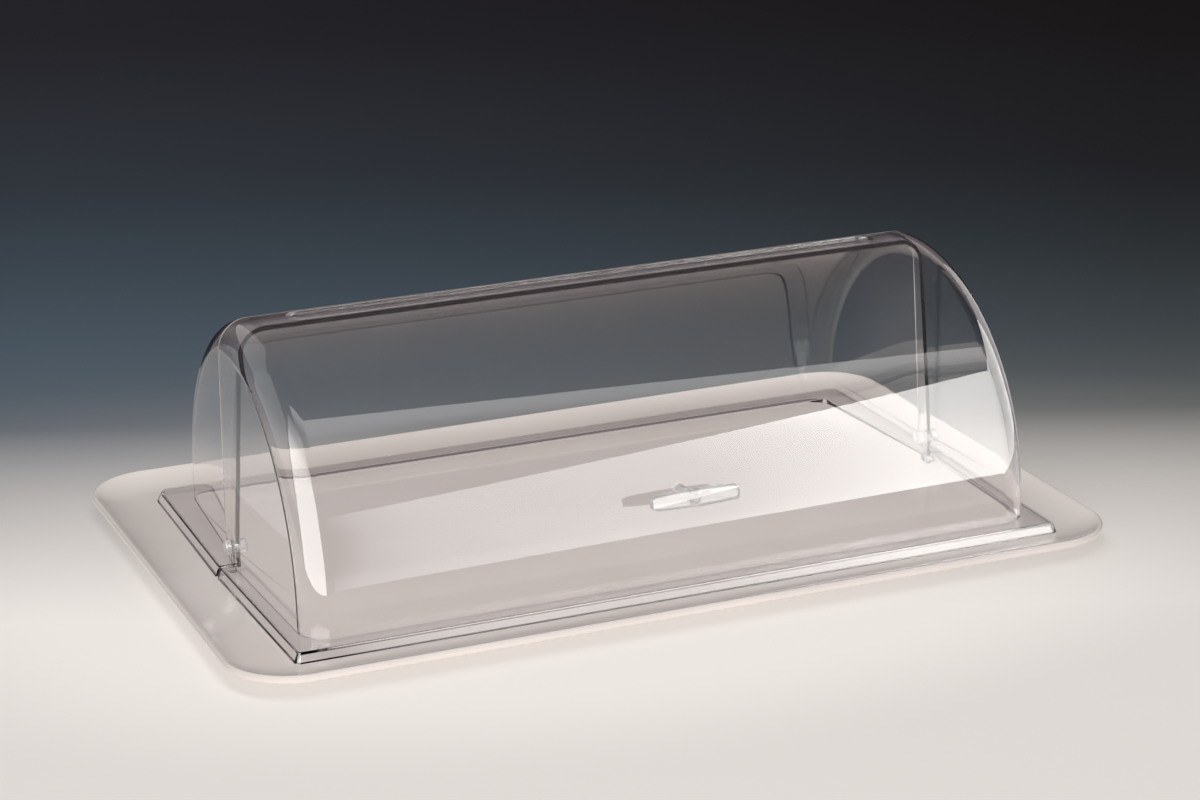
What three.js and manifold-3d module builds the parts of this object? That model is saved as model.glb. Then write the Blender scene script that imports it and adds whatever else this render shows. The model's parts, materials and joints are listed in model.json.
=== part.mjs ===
// Roll top food display: a serving tray with a two-part clear cover on it.
// Millimetres, X to the right, Y to the rear, Z up. The origin is the middle of
// the tray on the surface it stands on.

import * as THREE from 'three';
import { mergeVertices } from 'three/addons/utils/BufferGeometryUtils.js';
import Module from 'manifold-3d';

const wasm = await Module();
wasm.setup();

// Gaps between neighbours, and how far a cutter runs past what it cuts.
const REST_GAP = 0.3;
const OVERRUN = 10;

// Tray
const TRAY_LENGTH = 600;
const TRAY_WIDTH = 400;
const TRAY_CORNER = 45;
const TRAY_FLOOR = 4;
const RIM_RISE = 6.3;
const RIM_BAND = 34.5;
const RIM_CURVE = { across: 36, up: 12 };
const UNDERSIDE_CURVE = { across: 34, up: 7.5 };
const UNDERSIDE_PAST_LIP = 0.5;
const LIP_ROUND = 2.2;
const FOOT_HEIGHT = 3;
const FOOT_WALL = 5;
const FOOT_INSET = 52;
const FOOT_CORNER = 30;

// Cover: where its middle stands from the tray's middle, and what both shells share.
// A shell's toe and ledge are the flat of the flange beside its dome and its end wall.
const COVER_RIGHT = 4;
const COVER_FORWARD = 6;
const WALL = 2.6;
const PIVOT_HEIGHT = 19;
const FLANGE_LENGTH = 530;
const FLANGE_WIDTH = 325;
const FLANGE_HEIGHT = 7;
const FLANGE_DRAFT_SHARE = 0.018;
const SKIRT_SLOPE = 3.2;
const SKIRT_SHARPEST = 0.4;
const SPLIT_GAP = 1;

// Front shell, the one that rolls
const FRONT_TOE = 15;
const FRONT_LEDGE = 11.3;
const FRONT_END_DRAFT_SHARE = 0.028;
const FRONT_FILLET = 20;
const FRONT_SKIRT_CORNER = 5;
const FRONT_SPLIT_CORNER = 6;
const EAR_RADIUS = 11.4;
const REAR_EDGE_SLANT = THREE.MathUtils.degToRad(2);
const RECESS_TO_END = 46.2;
const RECESS_WIDTH = 19;
const RECESS_END_ROUND = 9.2;
const RECESS_DEPTH = 1.4;
const RECESS_BEHIND_PIVOT = 3.5;

// Rear shell, which stays on the tray
const REAR_TOE = 18.3;
const REAR_LEDGE = 14.8;
const REAR_END_DRAFT_SHARE = 0.065;
const REAR_FILLET = 16.5;
const REAR_SKIRT_CORNER = 11;
const ARCH_BEFORE_PIVOT = 6;

// Pivot: a headed pin through both walls, with a washer and a cap inside
const PIN_RADIUS = 3;
const PIN_CLEARANCE = 0.3;
const PIN_HEAD_RADIUS = 4.8;
const PIN_HEAD = 4;
const PIN_HEAD_ROUND = 1.4;
const PIN_SHANK = 11.2;
const WASHER_RADIUS = 5.3;
const WASHER_THICKNESS = 0.8;
const CAP_RADIUS = 4.7;
const CAP_LENGTH = 4.8;
const CAP_ROUND = 1.2;

// Handle: a bar on a stem, held by a screw from inside the shell
const HANDLE_UP_DOME = THREE.MathUtils.degToRad(17.9);
const HANDLE_TILT = THREE.MathUtils.degToRad(5.7);
const BAR_LENGTH = 59;
const BAR_MIDDLE = 10.8;
const BAR_ENDS = 8.6;
const BAR_DEPTH = 6;
const BAR_EDGE = 1;
const BAR_CORNER = 2;
const BAR_STANDOFF = 21.1;
const STEM_RADIUS = 3.3;
const STEM_FLARE = 1.9;
const SCREW_RADIUS = 1.8;
const SCREW_CLEARANCE = 0.3;
const SCREW_LENGTH = 13.4;
const SCREW_HEAD_RADIUS = 3.1;
const SCREW_HEAD = 1.9;
const SADDLE_RADIUS = 3.5;
const SADDLE_FLAT = 4.5;

// Facets in a full turn of each kind of round surface, and in its small curves
const DOME_FACETS = 120;
const SMALL_FACETS = 32;
const FILLET_STEPS = 6;
const CORNER_STEPS = 5;
const RIM_STEPS = 7;
const ROUND_STEPS = 4;

const TRAY_UNDERSIDE = FOOT_HEIGHT;
const TRAY_TOP = FOOT_HEIGHT + TRAY_FLOOR;
const LIP_TOP = TRAY_TOP + RIM_RISE;

// Heights and radii about the pivot, which is the middle of the cover's own frame
const FRONT_RADIUS = FLANGE_WIDTH / 2 - FRONT_TOE;
const REAR_RADIUS = FLANGE_WIDTH / 2 - REAR_TOE;
const SKIRT_FOOT = -PIVOT_HEIGHT;
const SHELL_BOTTOM = SKIRT_FOOT + REST_GAP;
const LEDGE = SKIRT_FOOT + FLANGE_HEIGHT;
const REACH = FLANGE_WIDTH / 2 + OVERRUN;

// How far the shells' end walls stand from the middle, and the recess between them
const FRONT_END = FLANGE_LENGTH / 2 - FRONT_LEDGE;
const REAR_END = FLANGE_LENGTH / 2 - REAR_LEDGE;
const RECESS_LENGTH = 2 * (FRONT_END - RECESS_TO_END);

// Solids

function solidOf(geometry) {
  const bare = geometry.clone();
  bare.deleteAttribute('normal');
  bare.deleteAttribute('uv');
  const { attributes, index } = mergeVertices(bare);
  const mesh = new wasm.Mesh({
    numProp: 3,
    vertProperties: new Float32Array(attributes.position.array),
    triVerts: new Uint32Array(index.array),
  });
  return new wasm.Manifold(mesh);
}

function geometryOf(solid) {
  const mesh = solid.getMesh();
  const geometry = new THREE.BufferGeometry();
  geometry.setAttribute('position', new THREE.BufferAttribute(mesh.vertProperties, 3));
  geometry.setIndex(new THREE.BufferAttribute(mesh.triVerts, 1));
  geometry.computeVertexNormals();
  return geometry;
}

// A convex outline through the given corners, in order against the clock, each
// corner rounded by the radius beside it.
function roundedOutline(corners, radii) {
  const outline = new THREE.Shape();
  corners.forEach((corner, place) => {
    const last = corners[(place + corners.length - 1) % corners.length];
    const next = corners[(place + 1) % corners.length];
    const back = last.clone().sub(corner).normalize();
    const ahead = next.clone().sub(corner).normalize();
    const halfAngle = Math.acos(back.dot(ahead)) / 2;
    const inwards = back.clone().add(ahead).normalize();
    const centre = inwards.multiplyScalar(radii[place] / Math.sin(halfAngle)).add(corner);
    const start = Math.atan2(back.x, -back.y);
    const end = Math.atan2(-ahead.x, ahead.y);
    outline.absarc(centre.x, centre.y, radii[place], start, end, false);
  });
  return outline;
}

function roundedRectangle(length, width, radius) {
  const corners = [
    new THREE.Vector2(-length / 2, -width / 2),
    new THREE.Vector2(length / 2, -width / 2),
    new THREE.Vector2(length / 2, width / 2),
    new THREE.Vector2(-length / 2, width / 2),
  ];
  return roundedOutline(corners, corners.map(() => radius));
}

// An upright slab of the outline between two heights
function slab(outline, bottom, top) {
  const geometry = new THREE.ExtrudeGeometry(outline, {
    depth: top - bottom,
    bevelEnabled: false,
    curveSegments: CORNER_STEPS,
  });
  geometry.translate(0, 0, bottom);
  return solidOf(geometry);
}

// A slab that widens from the outline at both faces: its upper face is at top,
// and its lower one at bottom.
function swelledSlab(outline, bottom, top, curve, steps) {
  const geometry = new THREE.ExtrudeGeometry(outline, {
    depth: top - bottom - 2 * curve.up,
    bevelThickness: curve.up,
    bevelSize: curve.across,
    bevelSegments: steps,
    curveSegments: CORNER_STEPS,
  });
  geometry.translate(0, 0, bottom + curve.up);
  return solidOf(geometry);
}

// A side view, drawn as rear and up, carried right across the cover
function acrossCover(sideView) {
  const geometry = new THREE.ExtrudeGeometry(sideView, {
    depth: FLANGE_LENGTH + 2 * OVERRUN,
    bevelEnabled: false,
    curveSegments: SMALL_FACETS,
  });
  geometry.translate(0, 0, -FLANGE_LENGTH / 2 - OVERRUN);
  const rear = new THREE.Vector3(0, 1, 0);
  const up = new THREE.Vector3(0, 0, 1);
  const right = new THREE.Vector3(1, 0, 0);
  geometry.applyMatrix4(new THREE.Matrix4().makeBasis(rear, up, right));
  return solidOf(geometry);
}

// A profile of radius and place, turned about the line that runs to the right
function turned(profile, facets) {
  const geometry = new THREE.LatheGeometry(profile, facets);
  geometry.rotateZ(-Math.PI / 2);
  return solidOf(geometry);
}

function drum(radius, from, to, facets) {
  const profile = [
    new THREE.Vector2(0, from),
    new THREE.Vector2(radius, from),
    new THREE.Vector2(radius, to),
    new THREE.Vector2(0, to),
  ];
  return turned(profile, facets);
}

// The points of a quarter round about a centre, from one angle to another
function roundPoints(centre, radius, from, to, steps) {
  return Array.from({ length: steps + 1 }, (_, step) => {
    const angle = THREE.MathUtils.lerp(from, to, step / steps);
    return new THREE.Vector2(
      centre.x + radius * Math.cos(angle),
      centre.y + radius * Math.sin(angle),
    );
  });
}

// Tray: a flat floor with a dished rim, a round lip and a foot ring below

function makeTray() {
  const underside = swelledSlab(
    roundedRectangle(
      TRAY_LENGTH - 2 * UNDERSIDE_CURVE.across,
      TRAY_WIDTH - 2 * UNDERSIDE_CURVE.across,
      TRAY_CORNER - UNDERSIDE_CURVE.across,
    ),
    TRAY_UNDERSIDE,
    LIP_TOP + OVERRUN + 2 * UNDERSIDE_CURVE.up,
    { across: UNDERSIDE_CURVE.across + UNDERSIDE_PAST_LIP, up: UNDERSIDE_CURVE.up },
    RIM_STEPS,
  );
  const lip = swelledSlab(
    roundedRectangle(
      TRAY_LENGTH - 2 * LIP_ROUND,
      TRAY_WIDTH - 2 * LIP_ROUND,
      TRAY_CORNER - LIP_ROUND,
    ),
    -OVERRUN,
    LIP_TOP,
    { across: LIP_ROUND, up: LIP_ROUND },
    ROUND_STEPS,
  );
  const dish = swelledSlab(
    roundedRectangle(
      TRAY_LENGTH - 2 * RIM_BAND,
      TRAY_WIDTH - 2 * RIM_BAND,
      TRAY_CORNER - RIM_BAND,
    ),
    TRAY_TOP,
    LIP_TOP + OVERRUN + 2 * RIM_CURVE.up,
    RIM_CURVE,
    RIM_STEPS,
  );
  const footLength = TRAY_LENGTH - 2 * FOOT_INSET;
  const footWidth = TRAY_WIDTH - 2 * FOOT_INSET;
  const footOuter = slab(
    roundedRectangle(footLength, footWidth, FOOT_CORNER),
    0,
    TRAY_UNDERSIDE + TRAY_FLOOR / 2,
  );
  const footInner = slab(
    roundedRectangle(
      footLength - 2 * FOOT_WALL,
      footWidth - 2 * FOOT_WALL,
      FOOT_CORNER - FOOT_WALL,
    ),
    -OVERRUN,
    TRAY_UNDERSIDE,
  );
  const foot = footOuter.subtract(footInner);
  return underside.intersect(lip).add(foot).subtract(dish);
}

// Cover shells

// Half of a shell's lengthways section at the pivot's height: radius against
// place, from the left end round both fillets to the right end.
function sectionPoints(spec, inset) {
  const radius = spec.radius - inset;
  const end = spec.end - inset;
  const fillet = spec.fillet - inset;
  const lean = Math.atan(spec.draftShare);
  const centre = new THREE.Vector2(
    end - spec.draftShare * (radius - fillet) - fillet / Math.cos(lean),
    radius - fillet,
  );
  const rightSide = roundPoints(centre, fillet, Math.PI / 2, lean, FILLET_STEPS);
  rightSide.push(new THREE.Vector2(end, 0));
  const leftSide = rightSide.map((point) => new THREE.Vector2(-point.x, point.y)).reverse();
  return [...leftSide, ...rightSide];
}

// A shell's full body at the given inset from its outside: round about the
// pivot, and going straight down below it.
function domeBody(spec, inset) {
  const section = sectionPoints(spec, inset);
  const round = turned(section.map((point) => new THREE.Vector2(point.y, point.x)), DOME_FACETS);
  const front = section.map((point) => new THREE.Vector2(point.x, -point.y));
  const rear = section.slice(1, -1).reverse();
  const plan = new THREE.Shape([...front, ...rear]);
  return round.add(slab(plan, SKIRT_FOOT - OVERRUN, 0));
}

// The corners of the flange in plan, from behind the split at its left end to
// its front and back to the right, drawn in by the given inset.
function flangePlan(inset, pastSplit, splitCorner, frontCorner) {
  const halfWidth = FLANGE_WIDTH / 2;
  const halfAtSplit = FLANGE_LENGTH / 2 - inset + FLANGE_DRAFT_SHARE * pastSplit;
  const halfAtFront = FLANGE_LENGTH / 2 - inset - FLANGE_DRAFT_SHARE * halfWidth;
  const corners = [
    new THREE.Vector2(-halfAtSplit, pastSplit),
    new THREE.Vector2(-halfAtFront, inset - halfWidth),
    new THREE.Vector2(halfAtFront, inset - halfWidth),
    new THREE.Vector2(halfAtSplit, pastSplit),
  ];
  return roundedOutline(corners, [splitCorner, frontCorner, frontCorner, splitCorner]);
}

// The flange as a block with sloping sides, up to the given height
function flangeBlock(inset, top, corner) {
  const rise = top - SKIRT_FOOT;
  const slope = SKIRT_SLOPE * rise / FLANGE_HEIGHT;
  const round = Math.max(corner - inset - slope, SKIRT_SHARPEST);
  const outline = flangePlan(inset + slope, OVERRUN, SKIRT_SHARPEST, round);
  const bottom = SKIRT_FOOT - OVERRUN - rise;
  return swelledSlab(outline, bottom, top, { across: slope, up: rise }, 1);
}

// A shell with its flange at the front. The rear shell is turned round after.
function makeShell(spec, turn) {
  const skirtWall = WALL * Math.hypot(1, SKIRT_SLOPE / FLANGE_HEIGHT);
  const splitEnd = slab(
    flangePlan(0, -SPLIT_GAP / 2, spec.splitCorner, spec.skirtCorner),
    SKIRT_FOOT,
    LEDGE,
  );
  const channelEnd = slab(
    flangePlan(0, -SPLIT_GAP / 2 - WALL, SKIRT_SHARPEST, spec.skirtCorner),
    SKIRT_FOOT - OVERRUN,
    LEDGE,
  );
  const flange = flangeBlock(0, LEDGE, spec.skirtCorner).intersect(splitEnd);
  const channel = flangeBlock(skirtWall, LEDGE - WALL, spec.skirtCorner).intersect(channelEnd);
  const outside = domeBody(spec, 0).add(flange);
  const inside = domeBody(spec, WALL).add(channel);
  return outside.subtract(inside).rotate([0, 0, turn]);
}

function pivotHole() {
  const halfLength = FLANGE_LENGTH / 2;
  return drum(PIN_RADIUS + PIN_CLEARANCE, -halfLength, halfLength, SMALL_FACETS);
}

// What the front shell keeps of its body, seen from the side: all in front of
// the split, an ear round the pivot, and the strip up to its leaning rear edge.
function frontSideView() {
  const splitFace = -SPLIT_GAP / 2;
  const earStart = -Math.acos(splitFace / EAR_RADIUS);
  const view = new THREE.Shape();
  view.moveTo(-REACH, SHELL_BOTTOM);
  view.lineTo(splitFace, SHELL_BOTTOM);
  view.absarc(0, 0, EAR_RADIUS, earStart, -REAR_EDGE_SLANT, false);
  view.lineTo(EAR_RADIUS / Math.cos(REAR_EDGE_SLANT) + REACH * Math.tan(REAR_EDGE_SLANT), REACH);
  view.lineTo(-REACH, REACH);
  return view;
}

// The long shallow recess along the top of the front shell
function recess() {
  const outline = roundedRectangle(RECESS_LENGTH, RECESS_WIDTH, RECESS_END_ROUND);
  const cutter = slab(outline, FRONT_RADIUS / 2, REACH).translate([0, RECESS_BEHIND_PIVOT, 0]);
  const floor = drum(FRONT_RADIUS - RECESS_DEPTH, -RECESS_LENGTH, RECESS_LENGTH, DOME_FACETS);
  return cutter.subtract(floor);
}

function makeFrontShell() {
  const spec = {
    radius: FRONT_RADIUS,
    end: FRONT_END,
    draftShare: FRONT_END_DRAFT_SHARE,
    fillet: FRONT_FILLET,
    skirtCorner: FRONT_SKIRT_CORNER,
    splitCorner: FRONT_SPLIT_CORNER,
  };
  return makeShell(spec, 0)
    .intersect(acrossCover(frontSideView()))
    .subtract(recess())
    .subtract(pivotHole())
    .subtract(inHandlePlace(rod(SCREW_RADIUS + SCREW_CLEARANCE, -SADDLE_FLAT, OVERRUN)));
}

function makeRearShell() {
  const spec = {
    radius: REAR_RADIUS,
    end: REAR_END,
    draftShare: REAR_END_DRAFT_SHARE,
    fillet: REAR_FILLET,
    skirtCorner: REAR_SKIRT_CORNER,
    splitCorner: SKIRT_SHARPEST,
  };
  const view = new THREE.Shape();
  view.moveTo(-ARCH_BEFORE_PIVOT, SHELL_BOTTOM);
  view.lineTo(REACH, SHELL_BOTTOM);
  view.lineTo(REACH, REACH);
  view.lineTo(-ARCH_BEFORE_PIVOT, REACH);
  return makeShell(spec, 180)
    .intersect(acrossCover(view))
    .subtract(pivotHole());
}

// Pivot pieces, made for the right end, along the pivot from the middle outwards

function makePin() {
  const seat = FRONT_END + REST_GAP;
  const tip = seat - PIN_SHANK;
  const crown = new THREE.Vector2(PIN_HEAD_RADIUS - PIN_HEAD_ROUND, seat + PIN_HEAD - PIN_HEAD_ROUND);
  const profile = [
    new THREE.Vector2(0, tip),
    new THREE.Vector2(PIN_RADIUS, tip),
    new THREE.Vector2(PIN_RADIUS, seat),
    new THREE.Vector2(PIN_HEAD_RADIUS, seat),
    ...roundPoints(crown, PIN_HEAD_ROUND, 0, Math.PI / 2, ROUND_STEPS),
    new THREE.Vector2(0, seat + PIN_HEAD),
  ];
  return turned(profile, SMALL_FACETS);
}

const WASHER_FACE = REAR_END - WALL - REAR_END_DRAFT_SHARE * WASHER_RADIUS - REST_GAP;
const CAP_FACE = WASHER_FACE - WASHER_THICKNESS - REST_GAP;

function makeWasher() {
  const hole = drum(PIN_RADIUS + PIN_CLEARANCE, 0, FRONT_END, SMALL_FACETS);
  return drum(WASHER_RADIUS, WASHER_FACE - WASHER_THICKNESS, WASHER_FACE, SMALL_FACETS)
    .subtract(hole);
}

function makeCap() {
  const end = CAP_FACE - CAP_LENGTH;
  const crown = new THREE.Vector2(CAP_RADIUS - CAP_ROUND, end + CAP_ROUND);
  const profile = [
    new THREE.Vector2(0, end),
    ...roundPoints(crown, CAP_ROUND, -Math.PI / 2, 0, ROUND_STEPS),
    new THREE.Vector2(CAP_RADIUS, CAP_FACE),
    new THREE.Vector2(0, CAP_FACE),
  ];
  const boreEnd = FRONT_END + REST_GAP - PIN_SHANK - REST_GAP;
  const bore = drum(PIN_RADIUS + PIN_CLEARANCE, boreEnd, FRONT_END, SMALL_FACETS);
  return turned(profile, SMALL_FACETS).subtract(bore);
}

// Handle pieces, made with the stem's foot on the shell at zero and the stem
// running up, then set in place on the shell

function inHandlePlace(solid) {
  const lean = THREE.MathUtils.radToDeg(Math.PI / 2 - HANDLE_TILT);
  const foot = [0, -FRONT_RADIUS * Math.cos(HANDLE_UP_DOME), FRONT_RADIUS * Math.sin(HANDLE_UP_DOME)];
  return solid.rotate([lean, 0, 0]).translate(foot);
}

function upright(profile) {
  const geometry = new THREE.LatheGeometry(profile, SMALL_FACETS);
  geometry.rotateX(Math.PI / 2);
  return solidOf(geometry);
}

function rod(radius, from, to) {
  return upright([
    new THREE.Vector2(0, from),
    new THREE.Vector2(radius, from),
    new THREE.Vector2(radius, to),
    new THREE.Vector2(0, to),
  ]);
}

function gripOutline() {
  const end = BAR_LENGTH / 2 - BAR_EDGE;
  const corner = end - BAR_CORNER;
  const low = BAR_ENDS / 2 - BAR_EDGE;
  const bow = 2 * (BAR_MIDDLE / 2 - BAR_EDGE) - low;
  const outline = new THREE.Shape();
  outline.moveTo(-corner, -low);
  outline.quadraticCurveTo(0, -bow, corner, -low);
  outline.quadraticCurveTo(end, -low, end, BAR_CORNER - low);
  outline.lineTo(end, low - BAR_CORNER);
  outline.quadraticCurveTo(end, low, corner, low);
  outline.quadraticCurveTo(0, bow, -corner, low);
  outline.quadraticCurveTo(-end, low, -end, low - BAR_CORNER);
  outline.lineTo(-end, BAR_CORNER - low);
  outline.quadraticCurveTo(-end, -low, -corner, -low);
  return outline;
}

function makeGrip() {
  const edge = { across: BAR_EDGE, up: BAR_EDGE };
  const grip = swelledSlab(gripOutline(), BAR_STANDOFF, BAR_STANDOFF + BAR_DEPTH, edge, ROUND_STEPS);
  const flare = new THREE.Vector2(STEM_RADIUS + STEM_FLARE, BAR_STANDOFF - STEM_FLARE);
  const stem = upright([
    new THREE.Vector2(0, -SADDLE_FLAT),
    new THREE.Vector2(STEM_RADIUS, -SADDLE_FLAT),
    ...roundPoints(flare, STEM_FLARE, Math.PI, Math.PI / 2, ROUND_STEPS),
    new THREE.Vector2(STEM_RADIUS, BAR_STANDOFF + BAR_DEPTH / 2),
    new THREE.Vector2(0, BAR_STANDOFF + BAR_DEPTH / 2),
  ]);
  const screwTip = SCREW_LENGTH - SADDLE_FLAT;
  const bore = rod(SCREW_RADIUS + SCREW_CLEARANCE, -SADDLE_FLAT - OVERRUN, screwTip + REST_GAP);
  const dome = drum(FRONT_RADIUS + REST_GAP, -BAR_LENGTH, BAR_LENGTH, DOME_FACETS);
  return inHandlePlace(grip.add(stem).subtract(bore)).subtract(dome);
}

function makeSaddle() {
  const dome = drum(FRONT_RADIUS - WALL - REST_GAP, -BAR_LENGTH, BAR_LENGTH, DOME_FACETS);
  const hole = rod(SCREW_RADIUS + SCREW_CLEARANCE, -SADDLE_FLAT - OVERRUN, OVERRUN);
  return inHandlePlace(rod(SADDLE_RADIUS, -SADDLE_FLAT, 0).subtract(hole)).intersect(dome);
}

function makeScrew() {
  const seat = -SADDLE_FLAT - REST_GAP;
  const crown = new THREE.Vector2(0, seat);
  const profile = [
    ...roundPoints(crown, 1, -Math.PI / 2, 0, ROUND_STEPS).map((point) => new THREE.Vector2(
      SCREW_HEAD_RADIUS * point.x,
      seat + SCREW_HEAD * (point.y - seat),
    )),
    new THREE.Vector2(SCREW_RADIUS, seat),
    new THREE.Vector2(SCREW_RADIUS, seat + SCREW_LENGTH),
    new THREE.Vector2(0, seat + SCREW_LENGTH),
  ];
  return inHandlePlace(upright(profile));
}

// Materials

function finish(colour, roughness) {
  return new THREE.MeshStandardMaterial({ color: colour, roughness, metalness: 0 });
}

const TRAY_COLOUR = 0xf1efeb;
const SHELL_COLOUR = 0xdfe5e8;
const PIVOT_COLOUR = 0xf0eeee;
const HANDLE_COLOUR = 0xe6e8ea;

// Assembly

function piece(name, solid, material) {
  const mesh = new THREE.Mesh(geometryOf(solid), material);
  mesh.name = name;
  return mesh;
}

const display = new THREE.Group();
display.name = 'roll_top_display';
display.add(piece('tray', makeTray(), finish(TRAY_COLOUR, 0.15)));

const cover = new THREE.Group();
cover.name = 'cover';
cover.position.set(COVER_RIGHT, -COVER_FORWARD, TRAY_TOP + PIVOT_HEIGHT);
cover.add(piece('rear_shell', makeRearShell(), finish(SHELL_COLOUR, 0.05)));
cover.add(piece('front_shell', makeFrontShell(), finish(SHELL_COLOUR, 0.05)));
cover.add(piece('handle_grip', makeGrip(), finish(HANDLE_COLOUR, 0.08)));
cover.add(piece('handle_saddle', makeSaddle(), finish(HANDLE_COLOUR, 0.2)));
cover.add(piece('handle_screw', makeScrew(), finish(PIVOT_COLOUR, 0.25)));

for (const [side, turn] of [['right', 0], ['left', Math.PI]]) {
  const pivot = new THREE.Group();
  pivot.rotation.z = turn;
  pivot.add(piece(`pivot_pin_${side}`, makePin(), finish(PIVOT_COLOUR, 0.15)));
  pivot.add(piece(`pivot_washer_${side}`, makeWasher(), finish(PIVOT_COLOUR, 0.3)));
  pivot.add(piece(`pivot_cap_${side}`, makeCap(), finish(PIVOT_COLOUR, 0.15)));
  cover.add(pivot);
}
display.add(cover);

export default display;
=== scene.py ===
"""Looks of the roll top food display: a glossy white tray and its clear two-part cover."""

import json
import math

import bmesh
import bpy
from mathutils import Matrix, Vector


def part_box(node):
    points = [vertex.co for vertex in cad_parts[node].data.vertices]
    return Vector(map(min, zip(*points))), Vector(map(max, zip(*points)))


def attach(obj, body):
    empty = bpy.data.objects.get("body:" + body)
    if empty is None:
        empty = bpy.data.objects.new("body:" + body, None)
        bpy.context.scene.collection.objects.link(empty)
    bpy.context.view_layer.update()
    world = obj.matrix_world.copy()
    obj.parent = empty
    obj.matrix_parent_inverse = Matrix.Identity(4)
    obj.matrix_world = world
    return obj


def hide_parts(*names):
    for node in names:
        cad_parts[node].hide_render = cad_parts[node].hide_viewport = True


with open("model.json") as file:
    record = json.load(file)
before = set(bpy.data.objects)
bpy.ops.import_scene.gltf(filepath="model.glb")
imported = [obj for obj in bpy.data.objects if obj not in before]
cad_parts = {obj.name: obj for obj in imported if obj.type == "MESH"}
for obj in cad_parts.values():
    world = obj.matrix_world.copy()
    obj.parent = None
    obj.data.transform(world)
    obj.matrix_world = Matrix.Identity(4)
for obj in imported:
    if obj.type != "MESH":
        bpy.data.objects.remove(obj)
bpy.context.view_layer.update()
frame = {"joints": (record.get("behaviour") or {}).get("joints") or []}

MM = 0.001
RIGHT = Vector((1, 0, 0))
REAR = Vector((0, 1, 0))
UP = Vector((0, 0, 1))

# Places taken from the frame
tray_low, tray_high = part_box("tray")
front_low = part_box("front_shell")[0]
roll_joint = next(j for j in frame["joints"] if j["name"] == "roll_open")
PIVOT = Vector(roll_joint["pos_m"])

# Tray
TRAY_LENGTH = tray_high.x - tray_low.x
TRAY_WIDTH = tray_high.y - tray_low.y
TRAY_CORNER = 45 * MM
RIM_RISE = 6.3 * MM
LIP_TOP = tray_high.z
TRAY_TOP = LIP_TOP - RIM_RISE
TRAY_FLOOR = 4 * MM
TRAY_UNDERSIDE = TRAY_TOP - TRAY_FLOOR
RIM_BAND = 34.5 * MM
RIM_CURVE = (36 * MM, 12 * MM)
UNDERSIDE_CURVE = (34 * MM, 7.5 * MM)
LIP_ROUND = 2.2 * MM
FOOT_WALL = 5 * MM
FOOT_INSET = 52 * MM
FOOT_CORNER = 30 * MM
FOOT_EDGE = 0.8 * MM

# Cover
WALL = 2.6 * MM
REST_GAP = 0.3 * MM
SPLIT_GAP = 1 * MM
PIVOT_HEIGHT = PIVOT.z - front_low.z + REST_GAP
FLANGE_LENGTH = 530 * MM
FLANGE_WIDTH = 325 * MM
FLANGE_HEIGHT = 7 * MM
FLANGE_DRAFT = 0.018
SKIRT_SLOPE = 3.2 * MM
SKIRT_SHARPEST = 0.4 * MM
LEDGE = FLANGE_HEIGHT - PIVOT_HEIGHT
OVERRUN = 10 * MM

FRONT_SHELL = {
    "radius": 147.5 * MM,
    "end": 253.7 * MM,
    "draft": 0.028,
    "fillet": 20 * MM,
    "corner": 5 * MM,
    "split_corner": 6 * MM,
}
REAR_SHELL = {
    "radius": 144.2 * MM,
    "end": 250.2 * MM,
    "draft": 0.065,
    "fillet": 16.5 * MM,
    "corner": 11 * MM,
    "split_corner": SKIRT_SHARPEST,
}
EAR_RADIUS = 11.4 * MM
REAR_EDGE_SLANT = math.radians(2)
ARCH_BEFORE_PIVOT = 6 * MM
RECESS_LENGTH = 415 * MM
RECESS_WIDTH = 19 * MM
RECESS_DEPTH = 1.4 * MM
RECESS_END_ROUND_SHARE = 0.97
RECESS_BEHIND_PIVOT = 3.5 * MM
REACH = FLANGE_WIDTH / 2 + OVERRUN

# Pivots
PIN_RADIUS = 3 * MM
PIN_CLEARANCE = 0.3 * MM
PIN_HEAD_RADIUS = 4.8 * MM
PIN_HEAD = 4 * MM
PIN_HEAD_ROUND = 1.4 * MM
PIN_SHANK = 11.2 * MM
WASHER_RADIUS = 5.3 * MM
WASHER_THICKNESS = 0.8 * MM
CAP_RADIUS = 4.7 * MM
CAP_LENGTH = 4.8 * MM
CAP_ROUND = 1.2 * MM
PIVOT_EDGE = 0.2 * MM

# Handle
HANDLE_UP_DOME = math.radians(17.9)
HANDLE_TILT = math.radians(5.7)
BAR_LENGTH = 59 * MM
BAR_MIDDLE = 10.8 * MM
BAR_ENDS = 8.6 * MM
BAR_DEPTH = 6 * MM
BAR_EDGE = 1 * MM
BAR_CORNER = 2 * MM
BAR_STANDOFF = 21.1 * MM
STEM_RADIUS = 3.3 * MM
STEM_FLARE = 1.9 * MM
SCREW_RADIUS = 1.8 * MM
SCREW_CLEARANCE = 0.3 * MM
SCREW_LENGTH = 13.4 * MM
SCREW_HEAD_RADIUS = 3.1 * MM
SCREW_HEAD = 1.9 * MM
SADDLE_RADIUS = 3.5 * MM
SADDLE_FLAT = 4.5 * MM

# Smoothness
DOME_STEPS = 120
FILLET_STEPS = 14
SMALL_STEPS = 48
CORNER_STEPS = 16
LIP_STEPS = 10
RIM_STEPS = 20
FOOT_EDGE_STEPS = 4
ROUND_STEPS = 8
BAR_BOW_STEPS = 24
BAR_EDGE_STEPS = 6
SHARP_FROM = math.radians(28)
EASE = 0.3 * MM
EASE_STEPS = 2

# Clearing up after the cuts: how near two points may lie, how flat two faces are together,
# the most sides a face keeps, and where the dome is parted on both sides of the stem's hole
TINY = 1e-6
WELD = 2e-5
FLAT_WITHIN = math.radians(0.2)
MOST_SIDES = 4
BESIDE_STEM = 6 * MM

# Points are sorted by their places in metres, to this many digits
PLACE_DIGITS = 7


# Mesh helpers

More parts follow.
